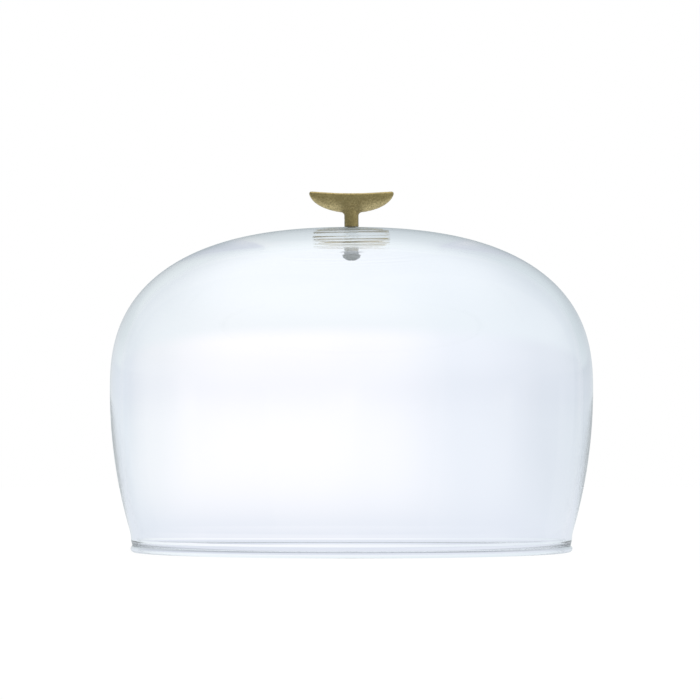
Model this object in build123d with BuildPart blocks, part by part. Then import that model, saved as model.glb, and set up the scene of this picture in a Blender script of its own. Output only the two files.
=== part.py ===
"""Glass cloche: a blown glass bell with a rolled rim and a cast brass crescent knob.

The knob is clamped to the crown by one machine screw from inside, with silicone on both faces of the glass.
Millimetres. +Z is up, the origin is the middle of the ground ring that the rim stands on, and the knob's
wings lie along X.
"""

from build123d import *
from math import cos, exp, hypot, radians, sin
import os

# Glass bell, outside
BELLY_RADIUS = 130.0  # the widest level
BELLY_LEVEL = 87.0
CROWN_LEVEL = 174.0  # the outside of the glass on the axis
SHOULDER_POWER = 2.5  # exponent of the superellipse from belly to crown
SHOULDER_SPANS = 12
WALL_ARC = 270.0  # radius of the wall's long curve from belly to rim
FLARE_ARC = 20.0  # radius of the short reverse curve that turns the wall upright again
NECK_RADIUS = 118.5  # outside, just above the rim bead

# Glass thickness: even over the shoulders, more round the crown, less in its middle, thinning down the wall
SHOULDER_WALL = 5.1
NECK_WALL = 3.1
WALL_SPANS = 6
CROWN_EXTRA = 0.56
CROWN_SPREAD = 82.0
CROWN_FADE = 11
MIDDLE_LOSS = 0.75
MIDDLE_SPREAD = 51.0
MIDDLE_FADE = 3.5

# Rim bead
BEAD_RADIUS = 1.8
BEAD_LEVEL = 1.75  # a little less than the radius, so that the ground ring is flat
BEAD_FILLET = 1.5

# Hole through the crown, with a small ground seat on each face
HOLE_RADIUS = 3.2
HOLE_CHAMFER = 0.3
SEAT_RADIUS = 4.6
INNER_SEAT_RADIUS = 4.8
SEAT_CUT = 0.05

# Knob: a hull that is part of an ellipsoid, on a round stem
HULL_HALF_LENGTH = 23.0
HULL_HALF_WIDTH = 6.2
HULL_DEPTH = 11.5
HULL_LEVEL = 19.2  # the ellipsoid's centre above the stem's foot
SADDLE_LEVEL = 18.0  # the lowest point of the hollowed top
SADDLE_ARC = 180.0
RIM_FILLET = 1.2
STEM_RADIUS = 3.85
STEM_FILLET = 2.0
FOOT_FILLET = 0.3
TAP_DEPTH = 8.8

# Fastener stack, from the knob down
GASKET_RADIUS = 4.1
GASKET = 1.0
FLANGE_RADIUS = 4.0
FLANGE = 3.8
BARREL_GAP = 0.05  # between the grommet's barrel and the glass
BARREL_SHORT = 0.3  # the barrel stops this far below the gasket
WASHER_RADIUS = 5.0
WASHER = 1.0
SCREW_HOLE_RADIUS = 2.65

# Screw, M5 x 16, with a pan head
SCREW_LENGTH = 16.0
THREAD_RADIUS = 2.45
THREAD_DEPTH = 0.4
THREAD_PITCH = 0.8
THREAD_GAP = 0.04  # between the screw's thread and the knob's
HEAD_RADIUS = 4.75
HEAD_SIDE = 1.2
HEAD_DOME = 2.5
HEAD_SEAT_CHAMFER = 0.2
RECESS_REACH = 5.0
RECESS_SLOT = 1.1
RECESS_DEPTH = 2.3
RECESS_TAPER = 12.0


def glass_wall(radius):
    """Thickness of the shoulder and the crown, square to the outside, at a distance from the axis."""
    gained = CROWN_EXTRA * exp(-((radius / CROWN_SPREAD) ** CROWN_FADE))
    lost = MIDDLE_LOSS * exp(-((radius / MIDDLE_SPREAD) ** MIDDLE_FADE))
    return SHOULDER_WALL + gained - lost


def shoulder(turn):
    """The outside and inside points of the shoulder, at a turn from 0 at the belly to 90 at the axis."""
    height = CROWN_LEVEL - BELLY_LEVEL
    across = max(cos(radians(turn)), 0.0) ** (2 / SHOULDER_POWER)
    up = sin(radians(turn)) ** (2 / SHOULDER_POWER)
    normal = (
        across ** (SHOULDER_POWER - 1) / BELLY_RADIUS,
        up ** (SHOULDER_POWER - 1) / height,
    )
    size = hypot(*normal)
    outside = (BELLY_RADIUS * across, BELLY_LEVEL + height * up)
    wall = glass_wall(outside[0])
    inside = (
        outside[0] - wall * normal[0] / size,
        outside[1] - wall * normal[1] / size,
    )
    return outside, inside


def wall_inside(way):
    """The inside point of the wall, from 0 at the belly to 1 at the neck, with the thickness eased between."""
    turn = radians(wall_turn * way)
    ease = way * way * (3 - 2 * way)
    reach = WALL_ARC - SHOULDER_WALL - (NECK_WALL - SHOULDER_WALL) * ease
    return wall_centre[0] + reach * cos(turn), wall_centre[1] - reach * sin(turn)


def thread_points(radius, start, end):
    """Corners of a ring thread of one outer radius, from one level up to another."""
    points = []
    turns = int((end - start) / THREAD_PITCH)
    for i in range(turns):
        foot = start + i * THREAD_PITCH
        points.append((radius - THREAD_DEPTH, foot))
        points.append((radius, foot + THREAD_PITCH / 2))
    points.append((radius - THREAD_DEPTH, start + turns * THREAD_PITCH))
    return points


def write(part, name):
    """Labels a finished piece and writes its STEP file."""
    part.label = name
    export_step(part, f"parts/{name}.step")


os.makedirs("parts", exist_ok=True)

# Levels of the stack, worked out from the glass
HOLE_TOP = CROWN_LEVEL - SEAT_CUT
HOLE_FOOT = CROWN_LEVEL - glass_wall(0) + SEAT_CUT
KNOB_FOOT = HOLE_TOP + GASKET
FLANGE_FOOT = HOLE_FOOT - FLANGE
HEAD_SEAT = FLANGE_FOOT - WASHER
SCREW_TIP = HEAD_SEAT + SCREW_LENGTH
THREAD_FOOT = KNOB_FOOT - int((KNOB_FOOT - HEAD_SEAT) / THREAD_PITCH) * THREAD_PITCH

# Glass bell
shoulder_pairs = [
    shoulder(90 * i / SHOULDER_SPANS) for i in range(SHOULDER_SPANS + 1)
]
outside_points = [pair[0] for pair in shoulder_pairs]
inside_points = [pair[1] for pair in shoulder_pairs]
wall_centre = (BELLY_RADIUS - WALL_ARC, BELLY_LEVEL)
flare_x = NECK_RADIUS + FLARE_ARC
centres_apart = WALL_ARC + FLARE_ARC
flare_drop = (centres_apart**2 - (flare_x - wall_centre[0]) ** 2) ** 0.5
flare_centre = (flare_x, BELLY_LEVEL - flare_drop)
wall_turn = Vector(flare_x - wall_centre[0], -flare_drop).get_angle(Vector(1, 0))
wall_end = (sin(radians(wall_turn)), cos(radians(wall_turn)))
wall_points = [wall_inside(i / WALL_SPANS) for i in range(WALL_SPANS + 1)]
bead_centre = (NECK_RADIUS - NECK_WALL / 2, BEAD_LEVEL)

with BuildPart() as glass_bell:
    with BuildSketch(Plane.XZ) as glass_profile:
        with BuildLine():
            outer = Spline(*outside_points, tangents=[(0, 1), (-1, 0)])
            CenterArc(wall_centre, WALL_ARC, -wall_turn, wall_turn)
            CenterArc(flare_centre, FLARE_ARC, 180 - wall_turn, wall_turn)
            inner = Spline(*inside_points, tangents=[(0, 1), (-1, 0)])
            Spline(*wall_points, tangents=[(0, -1), (-wall_end[0], -wall_end[1])])
            CenterArc(flare_centre, FLARE_ARC + NECK_WALL, 180 - wall_turn, wall_turn)
            Line(outer @ 1, inner @ 1)
            Polyline(
                (NECK_RADIUS, flare_centre[1]),
                (NECK_RADIUS, BEAD_LEVEL),
                (NECK_RADIUS - NECK_WALL, BEAD_LEVEL),
                (NECK_RADIUS - NECK_WALL, flare_centre[1]),
            )
        make_face()
        with Locations(bead_centre):
            Circle(BEAD_RADIUS)
        with Locations((bead_centre[0], -BEAD_RADIUS / 2)):
            Rectangle(4 * BEAD_RADIUS, BEAD_RADIUS, mode=Mode.SUBTRACT)
        above_bead = glass_profile.vertices().filter_by_position(
            Axis.Y, BEAD_LEVEL + 0.1, flare_centre[1] - 0.1
        )
        fillet(above_bead, BEAD_FILLET)
        with Locations((0, CROWN_LEVEL)):
            Rectangle(2 * HOLE_RADIUS, 4 * glass_wall(0), mode=Mode.SUBTRACT)
            Rectangle(2 * SEAT_RADIUS, 2 * SEAT_CUT, mode=Mode.SUBTRACT)
        with Locations((0, CROWN_LEVEL - glass_wall(0))):
            Rectangle(2 * INNER_SEAT_RADIUS, 2 * SEAT_CUT, mode=Mode.SUBTRACT)
        hole_corners = glass_profile.vertices().filter_by_position(
            Axis.X, HOLE_RADIUS - 0.01, HOLE_RADIUS + 0.01
        )
        chamfer(hole_corners, HOLE_CHAMFER)
    revolve(axis=Axis.Z)
write(glass_bell.part, "glass_bell")

# Knob: the hull, hollowed along its length, on its stem
with BuildPart() as knob:
    hull = scale(
        Sphere(1, mode=Mode.PRIVATE),
        by=(HULL_HALF_LENGTH, HULL_HALF_WIDTH, HULL_DEPTH),
        mode=Mode.PRIVATE,
    )
    add(hull.moved(Location((0, 0, KNOB_FOOT + HULL_LEVEL))))
    with Locations(
        Location((0, 0, KNOB_FOOT + SADDLE_LEVEL + SADDLE_ARC), (90, 0, 0))
    ):
        Cylinder(SADDLE_ARC, 4 * HULL_HALF_WIDTH, mode=Mode.SUBTRACT)
    saddle_rim = knob.edges().filter_by_position(
        Axis.Z, KNOB_FOOT + SADDLE_LEVEL - 1, KNOB_FOOT + HULL_LEVEL + HULL_DEPTH
    )
    fillet(saddle_rim, RIM_FILLET)
    with Locations((0, 0, KNOB_FOOT)):
        Cylinder(
            STEM_RADIUS,
            HULL_LEVEL - HULL_DEPTH / 3,
            align=(Align.CENTER, Align.CENTER, Align.MIN),
        )
    hull_curves = knob.edges().filter_by(GeomType.BSPLINE)
    junction = hull_curves.sort_by(lambda edge: edge.bounding_box().max.X)[0]
    fillet(junction, STEM_FILLET)
    foot = knob.edges().filter_by_position(Axis.Z, KNOB_FOOT - 0.1, KNOB_FOOT + 0.1)
    fillet(foot, FOOT_FILLET)
    tap = [
        (radius + THREAD_GAP, level)
        for radius, level in thread_points(
            THREAD_RADIUS, KNOB_FOOT, KNOB_FOOT + TAP_DEPTH
        )
    ]
    with BuildSketch(Plane.XZ):
        with BuildLine():
            Polyline(
                (0, KNOB_FOOT - 1),
                (tap[0][0], KNOB_FOOT - 1),
                *tap,
                (0, tap[-1][1] + THREAD_RADIUS / 2),
                close=True,
            )
        make_face()
    revolve(axis=Axis.Z, mode=Mode.SUBTRACT)
write(knob.part, "knob")

# Clear gasket between the knob's foot and the glass
with BuildPart() as upper_gasket:
    with BuildSketch(Plane.XY.offset(HOLE_TOP)):
        Circle(GASKET_RADIUS)
        Circle(SCREW_HOLE_RADIUS, mode=Mode.SUBTRACT)
    extrude(amount=GASKET)
    gasket_edges = upper_gasket.edges().filter_by(GeomType.CIRCLE)
    fillet(gasket_edges.sort_by(SortBy.RADIUS)[-2:], GASKET / 4)
write(upper_gasket.part, "upper_gasket")

# Flanged grommet that lines the hole and cushions the washers
with BuildPart() as grommet:
    with BuildSketch(Plane.XY.offset(FLANGE_FOOT)):
        Circle(FLANGE_RADIUS)
    extrude(amount=FLANGE)
    fillet(grommet.edges().filter_by(GeomType.CIRCLE), FLANGE / 4)
    with BuildSketch(Plane.XY.offset(HOLE_FOOT - FLANGE / 2)):
        Circle(HOLE_RADIUS - BARREL_GAP)
    extrude(amount=HOLE_TOP - HOLE_FOOT + FLANGE / 2 - BARREL_SHORT)
    with Locations((0, 0, HOLE_FOOT)):
        Cylinder(SCREW_HOLE_RADIUS, 4 * glass_wall(0), mode=Mode.SUBTRACT)
write(grommet.part, "grommet")

# Flat washer
with BuildPart() as flat_washer:
    with BuildSketch(Plane.XY.offset(HEAD_SEAT)):
        Circle(WASHER_RADIUS)
        Circle(SCREW_HOLE_RADIUS, mode=Mode.SUBTRACT)
    extrude(amount=WASHER)
    washer_edges = flat_washer.edges().filter_by(GeomType.CIRCLE)
    chamfer(washer_edges.sort_by(SortBy.RADIUS)[-2:], WASHER / 8)
write(flat_washer.part, "flat_washer")

# Screw: a pan head with a cross recess, and a ring thread for its whole length
with BuildPart() as screw:
    with BuildSketch(Plane.XZ):
        with BuildLine():
            thread = thread_points(THREAD_RADIUS, THREAD_FOOT, SCREW_TIP)
            brim = (HEAD_RADIUS, HEAD_SEAT - HEAD_SIDE)
            crest = (0, HEAD_SEAT - HEAD_SIDE - HEAD_DOME)
            Polyline(
                crest,
                (0, thread[-1][1]),
                *reversed(thread),
                (THREAD_RADIUS - THREAD_DEPTH, HEAD_SEAT),
                (HEAD_RADIUS - HEAD_SEAT_CHAMFER, HEAD_SEAT),
                (HEAD_RADIUS, HEAD_SEAT - HEAD_SEAT_CHAMFER),
                brim,
            )
            dome_radius = (HEAD_RADIUS**2 + HEAD_DOME**2) / (2 * HEAD_DOME)
            RadiusArc(brim, crest, dome_radius)
        make_face()
    revolve(axis=Axis.Z)
    with BuildSketch(Plane.XY.offset(crest[1])):
        Rectangle(RECESS_REACH, RECESS_SLOT)
        Rectangle(RECESS_SLOT, RECESS_REACH)
    extrude(amount=RECESS_DEPTH, taper=RECESS_TAPER, mode=Mode.SUBTRACT)
write(screw.part, "screw")
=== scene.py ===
"""Looks of the glass cloche: blown glass, cast brass, plated steel, milky silicone, a white studio.

Metres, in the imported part's frame: +Z up, the rim stands on z = 0, the camera looks along +Y.
"""

import math

import bpy
import numpy as np
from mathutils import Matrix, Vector, noise


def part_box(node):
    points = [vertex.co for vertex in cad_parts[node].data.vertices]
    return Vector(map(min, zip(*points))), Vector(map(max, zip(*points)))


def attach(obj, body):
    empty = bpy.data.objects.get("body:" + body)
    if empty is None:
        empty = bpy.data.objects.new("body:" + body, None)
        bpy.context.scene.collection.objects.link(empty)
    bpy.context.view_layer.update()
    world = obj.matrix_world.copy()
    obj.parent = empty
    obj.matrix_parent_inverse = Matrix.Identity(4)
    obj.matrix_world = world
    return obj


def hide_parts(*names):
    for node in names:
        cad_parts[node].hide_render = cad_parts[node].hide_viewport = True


# Camera: level with the rim, far enough away for the rim to look almost straight
CAMERA_BACK = 1.8
CAMERA_HEIGHT = 0.055
CAMERA_X = -0.0008
CAMERA_TILT = math.radians(1.704)
CAMERA_LENS = 171.6
CAMERA_SENSOR = 36

# Bell, outside: the same numbers as the solid part
BELLY_RADIUS = 0.130
BELLY_LEVEL = 0.087
CROWN_LEVEL = 0.174
SHOULDER_POWER = 2.5
WALL_ARC = 0.270
FLARE_ARC = 0.020
NECK_RADIUS = 0.1185
SHOULDER_WALL = 0.0051
NECK_WALL = 0.0031
CROWN_EXTRA = 0.00056
CROWN_SPREAD = 0.082
CROWN_FADE = 11
MIDDLE_LOSS = 0.00075
MIDDLE_SPREAD = 0.051
MIDDLE_FADE = 3.5
BEAD_RADIUS = 0.0018
BEAD_LEVEL = 0.00175
HOLE_RADIUS = 0.0032
HOLE_CHAMFER = 0.0003
SEAT_RADIUS = 0.0046
INNER_SEAT_RADIUS = 0.0048
SEAT_CUT = 0.00005
SEAT_EDGE = 0.0001
SEAT_GAP = 0.0003
BEAD_JOIN = math.radians(62)

# Ripples in the outside of the crown, evenly spaced in height, fading above, below and to the sides
RIPPLE_STEP = 0.0016
RIPPLE_HEIGHT = 0.000017
RIPPLE_START = (0.0014, 0.0026)
RIPPLE_END = (0.010, 0.0125)
RIPPLE_ASIDE = (0.030, 0.044)
RIPPLE_LEAN = 0.02
RIPPLE_CHANGE = 0.07
RIPPLE_SWING = 0.6
RIPPLE_SHIFT = 0.25
RIPPLE_MARGIN = 0.002

# Bell mesh
BELL_SEGMENTS = 280
SHOULDER_STEPS = 110
WALL_STEPS = 36
FLARE_STEPS = 8
BEAD_STEPS = 20

# Knob skin
KNOB_VOXEL = 0.00026
GRAIN_SIZE = 0.0011
GRAIN_HEIGHT = 0.00005
GRAIN_ROUGH = 0.7
GRAIN_STEP = 2.1
GRAIN_LAYERS = 4
DENT_SIZE = 0.006
DENT_HEIGHT = 0.00008
DENT_SHIFT = Vector((7, 3, 1))
TAP_ZONE = 0.0030
TAP_HEIGHT = 0.0105
FOOT_FADE = 0.0008

# Finishes: colours, and the size in metres of the pattern in each
GLASS_IOR = 1.5
SILICONE_IOR = 1.41
BRASS_GRAIN = 0.0008
BRASS_CLOUD = 0.006
BRASS_WORN = (0.38, 0.66)
BRASS_STAINED = (0.45, 0.75)
STEEL_SPOTS = 0.0012
STEEL_SPOTTED = (0.35, 0.7)
SILICONE_BLOOM = 0.002
BRASS_GOLD = (0.42, 0.335, 0.145, 1)
BRASS_DARK = (0.27, 0.21, 0.085, 1)
BRASS_STAIN = (0.30, 0.24, 0.10, 1)
# Painted light on the brass: the next colour is mixed in as painted light from below on faces that
# point down, except in a middle band by the stem, which is left as painted shade, and as a painted
# highlight, at the given share, on faces that point up.
BRASS_PAINTED_LIGHT = (0.84, 0.69, 0.34, 1)
PAINTED_LIGHT_SLOPE = (0.20, 0.66)
PAINTED_HIGHLIGHT_TOP = (0.30, 0.75)
PAINTED_HIGHLIGHT_TOP_SHARE = 0.4
PAINTED_SHADE_MIDDLE = (0.0035, 0.0085)
STEEL = (0.26, 0.29, 0.28, 1)
STEEL_DARK = (0.09, 0.105, 0.10, 1)
SILICONE = (0.44, 0.48, 0.50, 1)
SILICONE_DULL = (0.22, 0.26, 0.28, 1)

# Studio
LIGHT_BOUNCES = 32
WHITE = (1, 1, 1, 1)
RAMP_REACH = 0.3
BACKDROP_STOPS = (
    (-0.29, (0.78, 0.84, 0.92, 1)),
    (-0.12, (0.955, 0.975, 1.01, 1)),
    (-0.05, (1.08, 1.065, 1.10, 1)),
    (-0.015, (1.08, 1.065, 1.10, 1)),
    (0.01, (1.04, 1.04, 1.09, 1)),
    (0.05, (0.87, 0.91, 0.99, 1)),
    (0.12, (0.735, 0.785, 0.865, 1)),
    (0.29, (0.63, 0.69, 0.77, 1)),
)
CORNER = (0.68, 0.755, 0.81, 1)
CORNER_EDGE = (0.10, 0.55)
UPPER_STOPS = (
    (-0.29, (0.90, 0.965, 1.00, 1)),
    (0.29, (0.79, 0.87, 0.925, 1)),
)
SWEEP_EDGE = (0.0, 0.20)
UPPER_EDGE = (0.13, 0.30)
TOP_HAZE = 0.65
TOP_HAZE_EDGE = (0.046, 0.068)
ROOM = (0.32, 0.37, 0.39, 1)
# Each light: direction, the cosines where its edge starts and ends, colour
ROOM_LIGHTS = (
    ((0.95, -0.25, 0.1), (0.30, 0.95), (1.1, 1.12, 1.15, 1)),
    ((-0.35, -0.65, 0.6), (0.60, 0.98), (0.5, 0.5, 0.5, 1)),
    ((0.0, 0.0, 1.0), (0.50, 0.90), (1.5, 1.5, 1.5, 1)),
)
GROUND = (0.77, 0.815, 0.91, 1)
GROUND_EDGE = (-0.06, 0.065)
HORIZON_MIRRORED = (0.62, 0.67, 0.70, 1)
GROUND_MIRRORED = (0.74, 0.79, 0.82, 1)
GROUND_MIRRORED_EDGE = (-0.06, 0.02)
DISC_SEGMENTS = 96
FLOOR_RADIUS = 3.0
# The contact disc glows with the ground's colour and carries a painted contact shadow in a ring under
# the bead, seen only through the glass.
CONTACT_RADIUS = 0.14
CONTACT_DROP = 0.0001
CONTACT_RING = (0.108, 0.114, 0.120, 0.126)
CONTACT_SHADE = (0.25, 0.29, 0.33, 1)
CONTACT_SLANT = (0.20, 0.55)
CONTACT_SIDE = (0.05, 0.11)
CONTACT_SIDE_LOSS = 0.7
FLOOR_GLOW = 0.98
FLOOR_COLOUR = (0.03, 0.03, 0.03, 1)
KEY_PLACE = (-0.55, -1.0, 1.1)
KEY_SIZE = 0.8
KEY_POWER = 1


def glass_wall(radius):
    """Thickness of the shoulder and the crown at a distance from the axis."""
    gained = CROWN_EXTRA * math.exp(-((radius / CROWN_SPREAD) ** CROWN_FADE))
    lost = MIDDLE_LOSS * math.exp(-((radius / MIDDLE_SPREAD) ** MIDDLE_FADE))
    return SHOULDER_WALL + gained - lost


def ease(part):
    """0 to 1, level at both ends."""
    return part * part * (3 - 2 * part)


def smooth_step(value, low, high):
    """0 below low, 1 above high, smooth between them."""
    return ease(min(1.0, max(0.0, (value - low) / (high - low))))


def ripple(point):
    """How far the ripples left by the blowing lift the outside of the crown at this point."""
    drop = CROWN_LEVEL - point.z + RIPPLE_LEAN * point.x
    fade = smooth_step(drop, *RIPPLE_START) * (1 - smooth_step(drop, *RIPPLE_END))
    fade *= 1 - smooth_step(abs(point.x), *RIPPLE_ASIDE)
    uneven = noise.noise(point / RIPPLE_CHANGE)
    phase = 2 * math.pi * (drop / RIPPLE_STEP + RIPPLE_SHIFT * uneven)
    return RIPPLE_HEIGHT * fade * (1 + RIPPLE_SWING * uneven) * math.sin(phase)


def shoulder(turn):
    """The shoulder's points outside and inside. The turn is 0 at the belly, a right angle on top."""
    height = CROWN_LEVEL - BELLY_LEVEL
    across = max(math.cos(turn), 0.0) ** (2 / SHOULDER_POWER)
    up = math.sin(turn) ** (2 / SHOULDER_POWER)
    slope = (
        across ** (SHOULDER_POWER - 1) / BELLY_RADIUS,
        up ** (SHOULDER_POWER - 1) / height,
    )
    normal = Vector(slope).normalized()
    outside = Vector((BELLY_RADIUS * across, BELLY_LEVEL + height * up))
    return outside, outside - glass_wall(outside.x) * normal


def polar(centre, radius, angle):
    """The point at this angle on a circle. Angles in radians."""
    x, y = centre
    return Vector((x + radius * math.cos(angle), y + radius * math.sin(angle)))


def arc(centre, radius, start, end, steps):
    """Points along an arc, both ends included."""
    return [polar(centre, radius, start + (end - start) * i / steps) for i in range(steps + 1)]


def bell_profile():
    """The glass's closed outline, from the hole down the outside, round the bead and up the inside."""
    wall_centre = (BELLY_RADIUS - WALL_ARC, BELLY_LEVEL)
    flare_x = NECK_RADIUS + FLARE_ARC
    drop = math.sqrt((WALL_ARC + FLARE_ARC) ** 2 - (flare_x - wall_centre[0]) ** 2)
    flare_centre = (flare_x, BELLY_LEVEL - drop)
    turn = math.atan2(drop, flare_x - wall_centre[0])
    bead_centre = (NECK_RADIUS - NECK_WALL / 2, BEAD_LEVEL)

    pairs = [shoulder(math.pi / 2 * (1 - i / SHOULDER_STEPS)) for i in range(SHOULDER_STEPS + 1)]
    outside = [p for p, _ in pairs if p.x > SEAT_RADIUS + SEAT_GAP]
    inside = [p for _, p in pairs if p.x > INNER_SEAT_RADIUS + SEAT_GAP]
    outside += arc(wall_centre, WALL_ARC, 0, -turn, WALL_STEPS)[1:]
    outside += arc(flare_centre, FLARE_ARC, math.pi - turn, math.pi, FLARE_STEPS)[1:]
    for i in range(1, WALL_STEPS + 1):
        way = i / WALL_STEPS
        reach = WALL_ARC - SHOULDER_WALL - (NECK_WALL - SHOULDER_WALL) * ease(way)
        inside.append(polar(wall_centre, reach, -turn * way))
    inner_flare = FLARE_ARC + NECK_WALL
    inside += arc(flare_centre, inner_flare, math.pi - turn, math.pi, FLARE_STEPS)[1:]
    flat = math.asin(BEAD_LEVEL / BEAD_RADIUS)
    bead = arc(bead_centre, BEAD_RADIUS, BEAD_JOIN, -flat, BEAD_STEPS)
    bead += arc(bead_centre, BEAD_RADIUS, flat - math.pi, -math.pi - BEAD_JOIN, BEAD_STEPS)
    seat = CROWN_LEVEL - SEAT_CUT
    inner_seat = CROWN_LEVEL - glass_wall(0) + SEAT_CUT
    rim = HOLE_RADIUS + HOLE_CHAMFER
    top = [
        Vector((HOLE_RADIUS, seat - HOLE_CHAMFER)),
        Vector((rim, seat)),
        Vector((SEAT_RADIUS, seat)),
        Vector((SEAT_RADIUS + SEAT_EDGE, CROWN_LEVEL)),
    ]
    bottom = [
        Vector((INNER_SEAT_RADIUS + SEAT_EDGE, CROWN_LEVEL - glass_wall(0))),
        Vector((INNER_SEAT_RADIUS, inner_seat)),
        Vector((rim, inner_seat)),
        Vector((HOLE_RADIUS, inner_seat + HOLE_CHAMFER)),
    ]
    return top + outside + bead + inside[::-1] + bottom


def new_object(name, mesh, material):
    """An object of this mesh with one material, in the scene."""
    made = bpy.data.objects.new(name, mesh)
    bpy.context.scene.collection.objects.link(made)
    made.data.materials.clear()
    made.data.materials.append(material)
    return made


def revolve(profile, segments):
    """A closed mesh turned from an outline round the Z axis."""
    rows = len(profile)
    radii = np.array([p.x for p in profile])
    levels = np.array([p.y for p in profile])
    angles = np.linspace(0, 2 * math.pi, segments, endpoint=False)
    x = np.outer(np.cos(angles), radii)
    y = np.outer(np.sin(angles), radii)
    z = np.outer(np.ones(segments), levels)
    points = np.stack([x, y, z], axis=2).reshape(-1, 3)
    faces = []
    for s in range(segments):
        here, there = s * rows, (s + 1) % segments * rows
        for r in range(rows):
            up = (r + 1) % rows
            faces.append((here + r, here + up, there + up, there + r))
    mesh = bpy.data.meshes.new("bell")
    mesh.from_pydata(points.tolist(), [], faces)
    mesh.update()
    return mesh


def cast_knob(node, material):
    """The brass knob with the fine grain of a sand casting worked into its skin."""
    knob = new_object("knob_cast", node.data.copy(), material)
    skin = knob.modifiers.new("skin", "REMESH")
    skin.mode = "VOXEL"
    skin.voxel_size = KNOB_VOXEL
    bpy.context.view_layer.update()
    graph = bpy.context.evaluated_depsgraph_get()
    mesh = bpy.data.meshes.new_from_object(knob.evaluated_get(graph))
    knob.modifiers.clear()
    knob.data = mesh
    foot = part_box("knob")[0].z
    normals = [v.normal.copy() for v in mesh.vertices]
    for vertex, normal in zip(mesh.vertices, normals):
        place = vertex.co
        grain = noise.fractal(place / GRAIN_SIZE, GRAIN_ROUGH, GRAIN_STEP, GRAIN_LAYERS)
        dent = noise.noise(place / DENT_SIZE + DENT_SHIFT)
        hidden = place.xy.length < TAP_ZONE and place.z < foot + TAP_HEIGHT
        held = 0.0 if hidden else min(1.0, (place.z - foot) / FOOT_FADE)
        vertex.co = place + normal * held * (grain * GRAIN_HEIGHT + dent * DENT_HEIGHT)
    mesh.shade_smooth()
    return knob


def material(name):
    """A new node material and its tree, with only an output in it."""
    made = bpy.data.materials.new(name)
    made.use_nodes = True
    tree = made.node_tree
    tree.nodes.clear()
    tree.nodes.new("ShaderNodeOutputMaterial")
    return made, tree


class Graph:
    """Shader nodes written as sums: every call adds one node and returns its output."""

    def __init__(self, tree):
        self.tree = tree

    def node(self, kind, **settings):
        made = self.tree.nodes.new(kind)
        for key, value in settings.items():
            setattr(made, key, value)
        return made

    def feed(self, socket, value):
        if isinstance(value, bpy.types.NodeSocket):
            self.tree.links.new(value, socket)
        else:
            socket.default_value = value

    def math(self, operation, *values, clamp=False):
        made = self.node("ShaderNodeMath", operation=operation, use_clamp=clamp)
        for socket, value in zip(made.inputs, values):
            self.feed(socket, value)
        return made.outputs[0]

    def smooth(self, value, low, high):
        """0 below low, 1 above high, smooth between them."""
        made = self.node("ShaderNodeMapRange", interpolation_type="SMOOTHSTEP")
        for name, entry in (("Value", value), ("From Min", low), ("From Max", high)):
            self.feed(made.inputs[name], entry)
        return made.outputs[0]

    def mix(self, factor, first, second, blend="MIX"):
        made = self.node("ShaderNodeMix", data_type="RGBA", blend_type=blend)
        colours = [s for s in made.inputs if s.type == "RGBA"]
        self.feed(made.inputs[0], factor)
        self.feed(colours[0], first)
        self.feed(colours[1], second)
        return [s for s in made.outputs if s.type == "RGBA"][0]

    def ramp(self, value, stops, reach=RAMP_REACH):
        """A colour for each value from -reach to reach, smooth between the stops."""
        made = self.node("ShaderNodeValToRGB")
        ramp = made.color_ramp
        ramp.interpolation = "EASE"
        while len(ramp.elements) < len(stops):
            ramp.elements.new(0.5)
        for element, (place, colour) in zip(ramp.elements, stops):
            element.position = (place / reach + 1) / 2
            element.color = colour
        self.feed(made.inputs[0], self.math("MULTIPLY_ADD", value, 0.5 / reach, 0.5))
        return made.outputs[0]

    def parts(self, vector):
        """The X, Y and Z of a vector."""
        split = self.node("ShaderNodeSeparateXYZ")
        self.feed(split.inputs[0], vector)
        return split.outputs

    def dot(self, vector, direction):
        made = self.node("ShaderNodeVectorMath", operation="DOT_PRODUCT")
        self.feed(made.inputs[0], vector)
        made.inputs[1].default_value = Vector(direction).normalized()
        return made.outputs["Value"]


def beside(g, place):
    """How far to the right of the middle of the nearest of the four sides, as a tangent."""
    x, y, z = g.parts(place)
    along_y = g.math("GREATER_THAN", g.math("ABSOLUTE", y), g.math("ABSOLUTE", x))
    for_y = g.math("MULTIPLY", along_y, g.math("DIVIDE", x, y))
    for_x = g.math("DIVIDE", g.math("MULTIPLY", y, -1.0), x)
    for_x = g.math("MULTIPLY", g.math("SUBTRACT", 1.0, along_y), for_x)
    return g.math("ADD", for_y, for_x), z


def build_world():
    """A white studio. What shines through the glass is a backdrop on each of the four sides, grey-blue
    between them and above. What is mirrored is the room: dim all round, light overhead, grey below."""
    world = bpy.data.worlds.new("studio")
    bpy.context.scene.world = world
    world.use_nodes = True
    g = Graph(world.node_tree)
    background = world.node_tree.nodes["Background"]
    ray = g.node("ShaderNodeTexCoord").outputs["Generated"]
    across, z = beside(g, ray)
    corner = g.smooth(g.math("ABSOLUTE", across), *CORNER_EDGE)
    above = g.smooth(z, *SWEEP_EDGE)
    through = g.ramp(across, BACKDROP_STOPS)
    through = g.mix(g.math("MULTIPLY", corner, above), through, CORNER)
    upper = g.ramp(across, UPPER_STOPS)
    haze = g.math("MULTIPLY", g.smooth(z, *TOP_HAZE_EDGE), TOP_HAZE)
    through = g.mix(g.math("MAXIMUM", haze, g.smooth(z, *UPPER_EDGE)), through, upper)
    through = g.mix(g.smooth(z, *GROUND_EDGE), GROUND, through)
    mirrored = ROOM
    for direction, edge, colour in ROOM_LIGHTS:
        lobe = g.smooth(g.dot(ray, direction), *edge)
        mirrored = g.mix(lobe, mirrored, colour)
    mirrored = g.mix(above, HORIZON_MIRRORED, mirrored)
    mirrored = g.mix(g.smooth(z, *GROUND_MIRRORED_EDGE), GROUND_MIRRORED, mirrored)
    path = g.node("ShaderNodeLightPath").outputs
    light = g.mix(path["Is Transmission Ray"], mirrored, through)
    g.feed(background.inputs["Color"], g.mix(path["Is Camera Ray"], light, WHITE))


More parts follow.
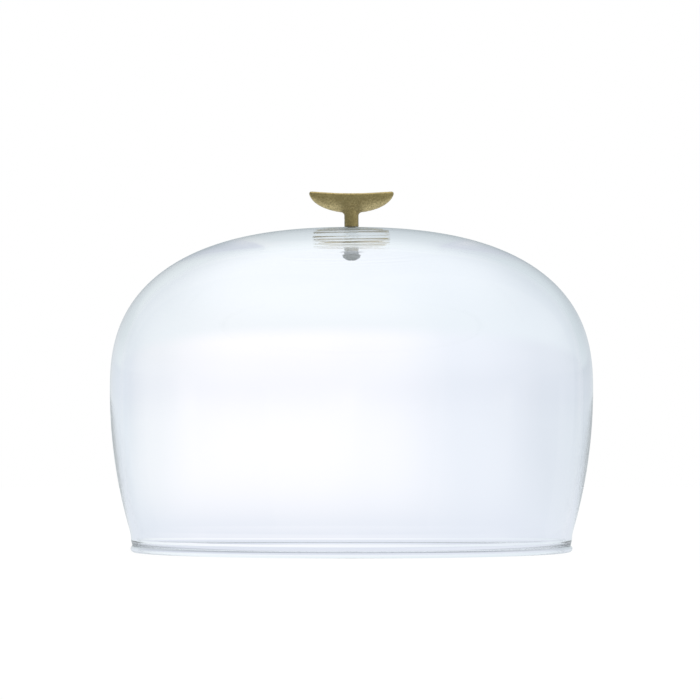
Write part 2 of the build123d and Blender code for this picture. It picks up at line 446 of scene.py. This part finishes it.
def disc(radius, level=0):
    """A flat round mesh."""
    mesh = bpy.data.meshes.new("floor")
    ring = [
        (radius * math.cos(a), radius * math.sin(a), level)
        for a in np.linspace(0, 2 * math.pi, DISC_SEGMENTS, endpoint=False)
    ]
    mesh.from_pydata(ring, [], [range(DISC_SEGMENTS)])
    mesh.update()
    return mesh


def floor_material():
    """White floor that melts into the backdrop and still takes a faint shadow."""
    made, tree = material("floor")
    g = Graph(tree)
    glow = g.node("ShaderNodeEmission")
    glow.inputs["Strength"].default_value = FLOOR_GLOW
    matt = g.node("ShaderNodeBsdfDiffuse")
    matt.inputs["Color"].default_value = FLOOR_COLOUR
    both = g.node("ShaderNodeAddShader")
    g.feed(both.inputs[0], glow.outputs[0])
    g.feed(both.inputs[1], matt.outputs[0])
    g.feed(tree.nodes["Material Output"].inputs["Surface"], both.outputs[0])
    return made


def contact_material():
    """The ground as the glass shows it, a glowing disc with a painted contact shadow: darker under the
    bead in front and behind, at low angles.
    """
    made, tree = material("contact")
    g = Graph(tree)
    place = g.node("ShaderNodeTexCoord").outputs["Object"]
    length = g.node("ShaderNodeVectorMath", operation="LENGTH")
    g.feed(length.inputs[0], place)
    radius = length.outputs["Value"]
    start, full, fade, end = CONTACT_RING
    # Painted contact shadow: a ring under the bead, faded for steep rays and towards the sides.
    under = g.math("SUBTRACT", g.smooth(radius, start, full), g.smooth(radius, fade, end))
    slant = g.node("ShaderNodeLayerWeight").outputs["Facing"]
    under = g.math("MULTIPLY", under, g.smooth(slant, *CONTACT_SLANT))
    side = g.smooth(g.math("ABSOLUTE", g.parts(place)[0]), *CONTACT_SIDE)
    under = g.math("MULTIPLY", under, g.math("MULTIPLY_ADD", side, -CONTACT_SIDE_LOSS, 1.0))
    glow = g.node("ShaderNodeEmission")
    g.feed(glow.inputs["Color"], g.mix(under, GROUND, CONTACT_SHADE))
    g.feed(tree.nodes["Material Output"].inputs["Surface"], glow.outputs[0])
    return made


def area_light(name, place, size, power):
    """A square softbox that faces the middle of the bell."""
    data = bpy.data.lights.new(name, "AREA")
    data.size = size
    data.energy = power
    lamp = bpy.data.objects.new(name, data)
    lamp.location = place
    aim = Vector((0, 0, BELLY_LEVEL)) - Vector(place)
    lamp.rotation_euler = aim.to_track_quat("-Z", "Y").to_euler()
    lamp.visible_camera = False
    lamp.visible_glossy = False
    lamp.visible_transmission = False
    bpy.context.scene.collection.objects.link(lamp)


def principled(tree, **inputs):
    """A Principled shader with these inputs, wired to the output. Underscores in names are spaces."""
    shader = tree.nodes.new("ShaderNodeBsdfPrincipled")
    for name, value in inputs.items():
        shader.inputs[name.replace("_", " ")].default_value = value
    tree.links.new(shader.outputs[0], tree.nodes["Material Output"].inputs["Surface"])
    return shader


def place_noise(g, size, detail=3.0, rough=0.55, distort=0.0):
    """Noise fixed to the object, with features about this size in metres."""
    made = g.node("ShaderNodeTexNoise")
    g.feed(made.inputs["Vector"], g.node("ShaderNodeTexCoord").outputs["Object"])
    made.inputs["Scale"].default_value = 1 / size
    made.inputs["Detail"].default_value = detail
    made.inputs["Roughness"].default_value = rough
    made.inputs["Distortion"].default_value = distort
    return made.outputs["Fac"]


def bump(g, height, distance, strength=1.0):
    made = g.node("ShaderNodeBump")
    made.inputs["Distance"].default_value = distance
    made.inputs["Strength"].default_value = strength
    g.feed(made.inputs["Height"], height)
    return made.outputs[0]


def glass_material():
    """Clear glass. Its only marks are in the mesh."""
    made, tree = material("clear_glass")
    principled(tree, Base_Color=WHITE, Roughness=0.0, IOR=GLASS_IOR, Transmission_Weight=1.0)
    return made


def brass_material():
    """Cast brass aged to olive gold, dark in the grain. Painted light from below on faces that point
    down away from the middle, painted shade in the middle by the stem, and a painted highlight on faces
    that point up.
    """
    made, tree = material("cast_brass")
    g = Graph(tree)
    shader = principled(tree, Metallic=0.85)
    grain = place_noise(g, BRASS_GRAIN, 5.0, 0.65)
    cloud = place_noise(g, BRASS_CLOUD, 3.0)
    worn = g.smooth(grain, *BRASS_WORN)
    colour = g.mix(worn, BRASS_DARK, BRASS_GOLD)
    stained = g.mix(g.smooth(cloud, *BRASS_STAINED), colour, BRASS_STAIN)
    place = g.node("ShaderNodeTexCoord").outputs
    # Painted light: light from below on faces that point down and away from the middle, painted shade
    # in the middle by the stem, a painted highlight on faces that point up.
    side = g.math("ABSOLUTE", g.parts(place["Object"])[0])
    rise = g.parts(place["Normal"])[2]
    slope = g.math("MULTIPLY", rise, -1.0)
    painted_light = g.math("MULTIPLY", g.smooth(side, *PAINTED_SHADE_MIDDLE), g.smooth(slope, *PAINTED_LIGHT_SLOPE))
    top = g.math("MULTIPLY", g.smooth(rise, *PAINTED_HIGHLIGHT_TOP), PAINTED_HIGHLIGHT_TOP_SHARE)
    painted_light = g.math("MAXIMUM", painted_light, top)
    painted_light = g.math("MULTIPLY", painted_light, g.math("MULTIPLY_ADD", worn, 0.6, 0.4))
    g.feed(shader.inputs["Base Color"], g.mix(painted_light, stained, BRASS_PAINTED_LIGHT))
    rough = g.math("MULTIPLY_ADD", grain, -0.2, 0.5)
    g.feed(shader.inputs["Roughness"], rough)
    g.feed(shader.inputs["Normal"], bump(g, grain, 0.0001, 0.6))
    return made


def steel_material():
    """Zinc-plated steel: a little uneven, with fine marks."""
    made, tree = material("zinc_steel")
    g = Graph(tree)
    shader = principled(tree, Metallic=1.0)
    spots = place_noise(g, STEEL_SPOTS, 4.0)
    colour = g.mix(g.smooth(spots, *STEEL_SPOTTED), STEEL_DARK, STEEL)
    g.feed(shader.inputs["Base Color"], colour)
    g.feed(shader.inputs["Roughness"], g.math("MULTIPLY_ADD", spots, 0.3, 0.2))
    g.feed(shader.inputs["Normal"], bump(g, spots, 0.00008))
    return made


def silicone_material():
    """Milky silicone, satin, with faint mould bloom."""
    made, tree = material("silicone")
    g = Graph(tree)
    shader = principled(tree, Transmission_Weight=0.1, IOR=SILICONE_IOR)
    bloom = place_noise(g, SILICONE_BLOOM, 3.0)
    g.feed(shader.inputs["Base Color"], g.mix(bloom, SILICONE_DULL, SILICONE))
    g.feed(shader.inputs["Roughness"], g.math("MULTIPLY_ADD", bloom, 0.2, 0.3))
    g.feed(shader.inputs["Normal"], bump(g, bloom, 0.00005))
    return made


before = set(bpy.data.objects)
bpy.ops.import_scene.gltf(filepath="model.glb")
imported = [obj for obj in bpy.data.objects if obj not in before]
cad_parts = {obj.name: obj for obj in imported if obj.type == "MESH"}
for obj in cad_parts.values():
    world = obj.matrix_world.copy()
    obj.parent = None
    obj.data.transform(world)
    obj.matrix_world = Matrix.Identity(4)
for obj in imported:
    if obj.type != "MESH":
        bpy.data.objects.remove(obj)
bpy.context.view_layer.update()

# Camera
camera_data = bpy.data.cameras.new("camera")
camera_data.lens = CAMERA_LENS
camera_data.sensor_width = CAMERA_SENSOR
camera = bpy.data.objects.new("camera", camera_data)
camera.location = (CAMERA_X, -CAMERA_BACK, CAMERA_HEIGHT)
camera.rotation_euler = (math.pi / 2 + CAMERA_TILT, 0, 0)
bpy.context.scene.collection.objects.link(camera)
bpy.context.scene.camera = camera

bell = new_object("glass_bell_blown", revolve(bell_profile(), BELL_SEGMENTS), glass_material())
lowest = CROWN_LEVEL - RIPPLE_END[1] - RIPPLE_MARGIN
normals = [v.normal.copy() for v in bell.data.vertices]
for vertex, normal in zip(bell.data.vertices, normals):
    place = vertex.co
    if normal.z > 0.5 and place.z > lowest and place.xy.length > 2 * SEAT_RADIUS:
        vertex.co += normal * ripple(place)
bell.data.shade_smooth()
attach(bell, "root")
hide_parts("glass_bell")

knob = cast_knob(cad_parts["knob"], brass_material())
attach(knob, "root")
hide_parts("knob")
knob.visible_glossy = False

steel, silicone = steel_material(), silicone_material()
for node, finish in (
    ("screw", steel),
    ("flat_washer", steel),
    ("upper_gasket", silicone),
    ("grommet", silicone),
):
    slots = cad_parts[node].data.materials
    slots.clear()
    slots.append(finish)

# Studio
build_world()
floor = new_object("floor", disc(FLOOR_RADIUS), floor_material())
floor.visible_transmission = False
floor.visible_glossy = False
contact = new_object("contact", disc(CONTACT_RADIUS, -CONTACT_DROP), contact_material())
contact.visible_camera = False
contact.visible_diffuse = False
contact.visible_glossy = False
contact.visible_shadow = False
area_light("key", KEY_PLACE, KEY_SIZE, KEY_POWER)
scene = bpy.context.scene
scene.view_settings.view_transform = "Standard"
scene.cycles.max_bounces = LIGHT_BOUNCES
scene.cycles.glossy_bounces = LIGHT_BOUNCES
scene.cycles.transmission_bounces = LIGHT_BOUNCES
